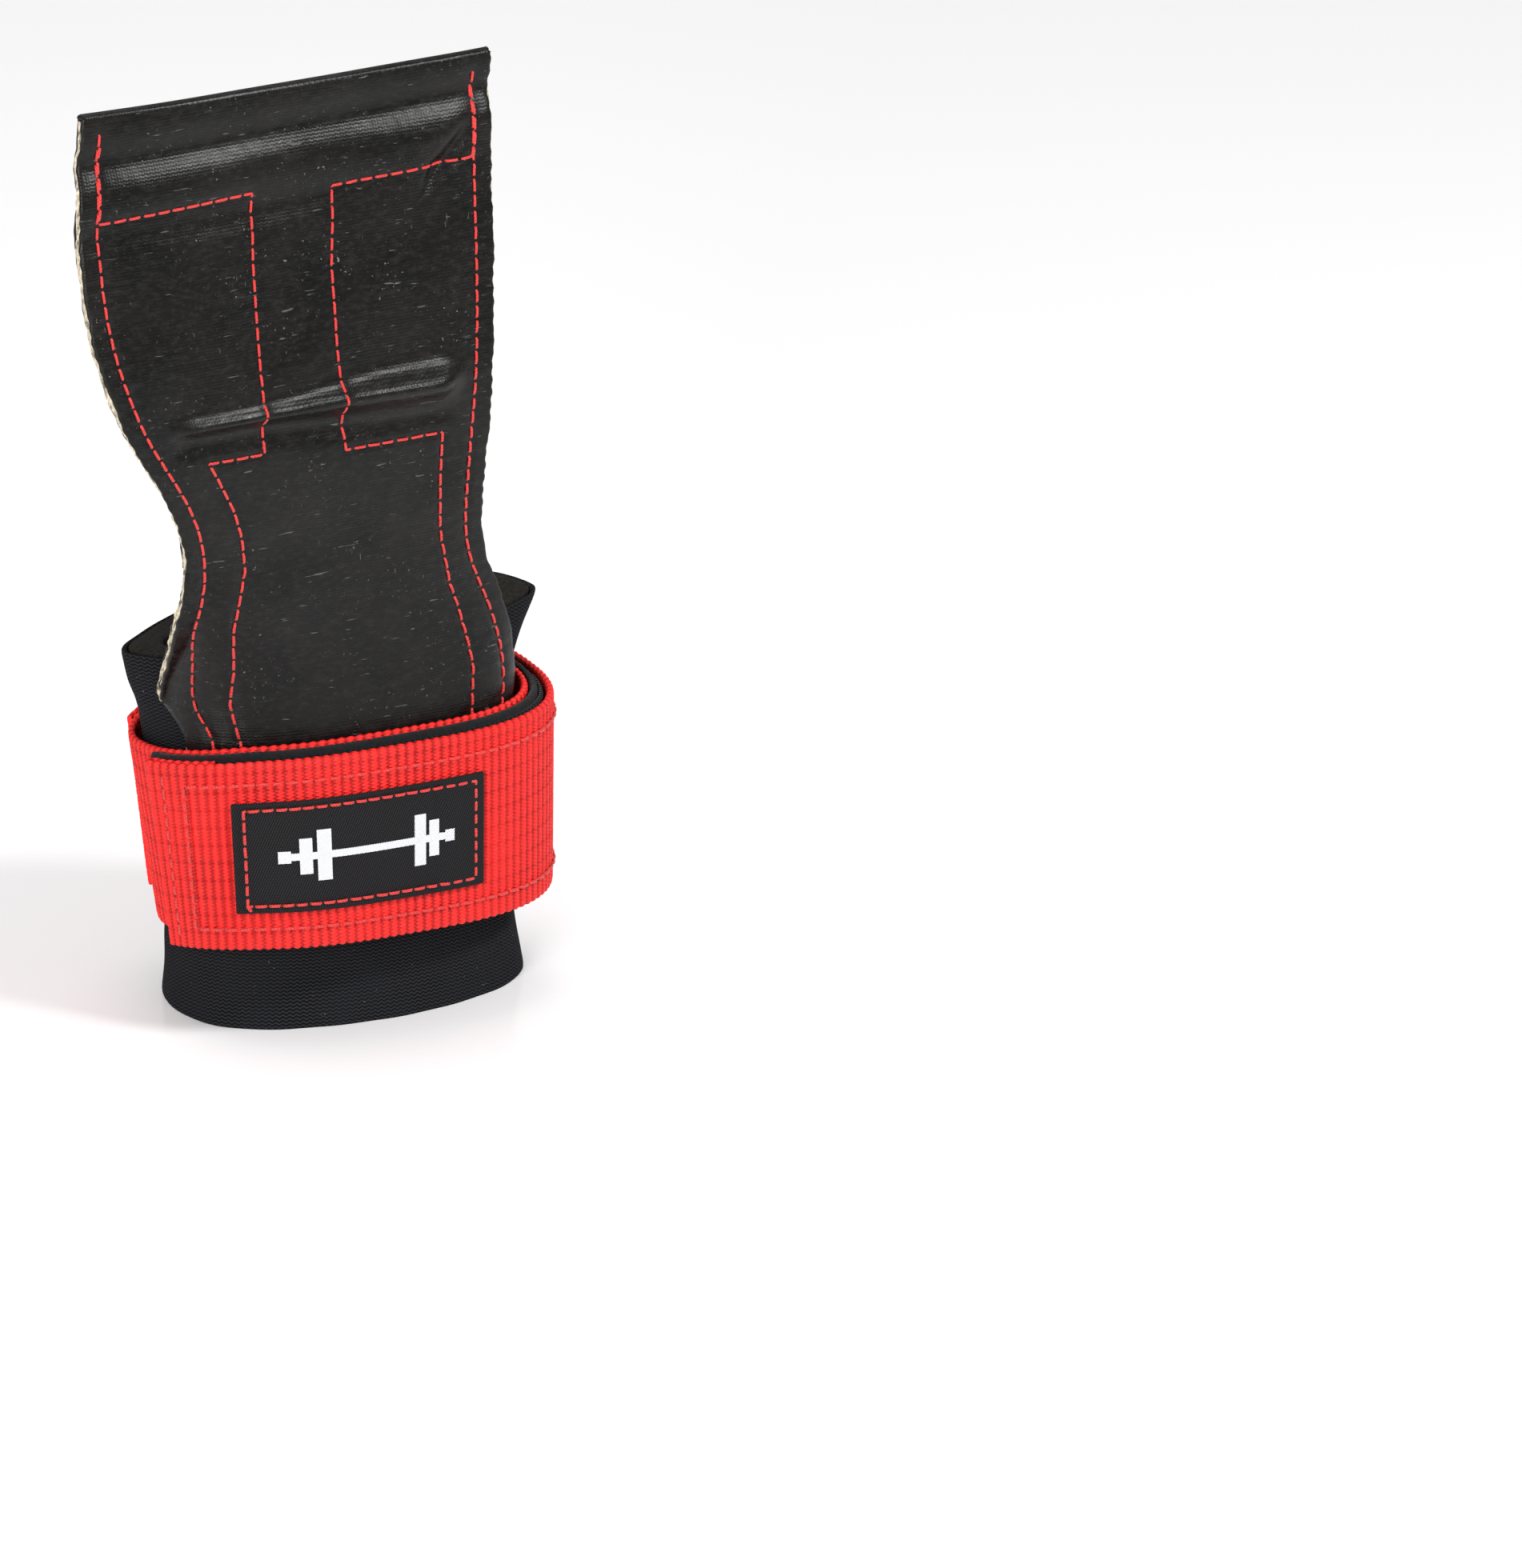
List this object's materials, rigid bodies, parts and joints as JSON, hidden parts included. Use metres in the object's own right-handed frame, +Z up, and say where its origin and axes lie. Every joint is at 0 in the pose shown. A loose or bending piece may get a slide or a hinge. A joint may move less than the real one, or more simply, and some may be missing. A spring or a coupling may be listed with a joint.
{
  "type": "weightlifting hand grip",
  "caption": "Palm grip: padded knit-faced foam wrist cuff, hook and loop webbing strap through a steel ring, and a stitched rubberised flap that folds round a bar.",
  "frame": {"origin": "middle of the bounding box's underside, on the surface that the cuff's lower edge stands on", "axes": "+Z up from the cuff to the flap's folded end, -Y towards the palm side with the label, +X to the right of someone facing the label"},
  "size_m": [0.1042, 0.0648, 0.1888],
  "materials": {
    "knit": "matt black jersey knit bonded to foam",
    "foam": "matt closed-cell neoprene, cut edge",
    "rubber": "satin rubber coating with a faint woven grain",
    "canvas": "raw cream cotton canvas",
    "webbing": "ribbed woven polyester webbing",
    "tape": "black hook and loop tape",
    "label": "black woven label",
    "thread": "red bonded sewing thread",
    "steel": "bright nickel-plated wire"
  },
  "bodies": {
    "cuff": {"cuff_outer_facing": "knit", "cuff_foam_core": "foam", "cuff_inner_facing": "knit", "flap_tail_front_skin": "rubber", "flap_tail_core": "canvas", "flap_tail_back_skin": "rubber", "base_webbing": "webbing", "loop_tape": "tape", "strap_return": "webbing", "ring_keeper": "webbing"},
    "palm_flap": {"flap_palm_front_skin": "rubber", "flap_palm_core": "canvas", "flap_palm_back_skin": "rubber", "palm_border_thread_left": "thread", "palm_border_thread_right": "thread", "palm_panel_thread_left": "thread", "palm_panel_thread_right": "thread"},
    "finger_flap": {"flap_finger_skin": "rubber", "flap_finger_core": "canvas", "finger_border_thread_left": "thread", "finger_border_thread_right": "thread", "finger_panel_thread_left": "thread", "finger_panel_thread_right": "thread"},
    "tongue": {"strap_tongue": "webbing", "tongue_tip_fold": "webbing", "hook_tape": "tape", "label": "label", "label_thread": "thread"},
    "ring": {"buckle_ring": "steel"}
  },
  "joints": [
    {"name": "wrist_fold", "type": "hinge", "parent": "cuff", "child": "palm_flap", "pos_m": [0.0051, -0.0238, 0.062], "axis": [1, 0, 0], "range_deg": [0, 100]},
    {"name": "finger_fold", "type": "hinge", "parent": "palm_flap", "child": "finger_flap", "pos_m": [-0.00794, -0.0291, 0.128], "axis": [1, 0, 0], "range_deg": [-6, 110]},
    {"name": "tongue_peel", "type": "hinge", "parent": "cuff", "child": "tongue", "pos_m": [0.05055, -0.00576, 0.0399], "axis": [0, 0, 1], "range_deg": [0, 110]},
    {"name": "ring_swing", "type": "hinge", "parent": "cuff", "child": "ring", "pos_m": [-0.00962, 0.02446, 0.03953], "axis": [-0.0434, 0.0275, 0.9987], "range_deg": [-3, 3]}
  ]
}
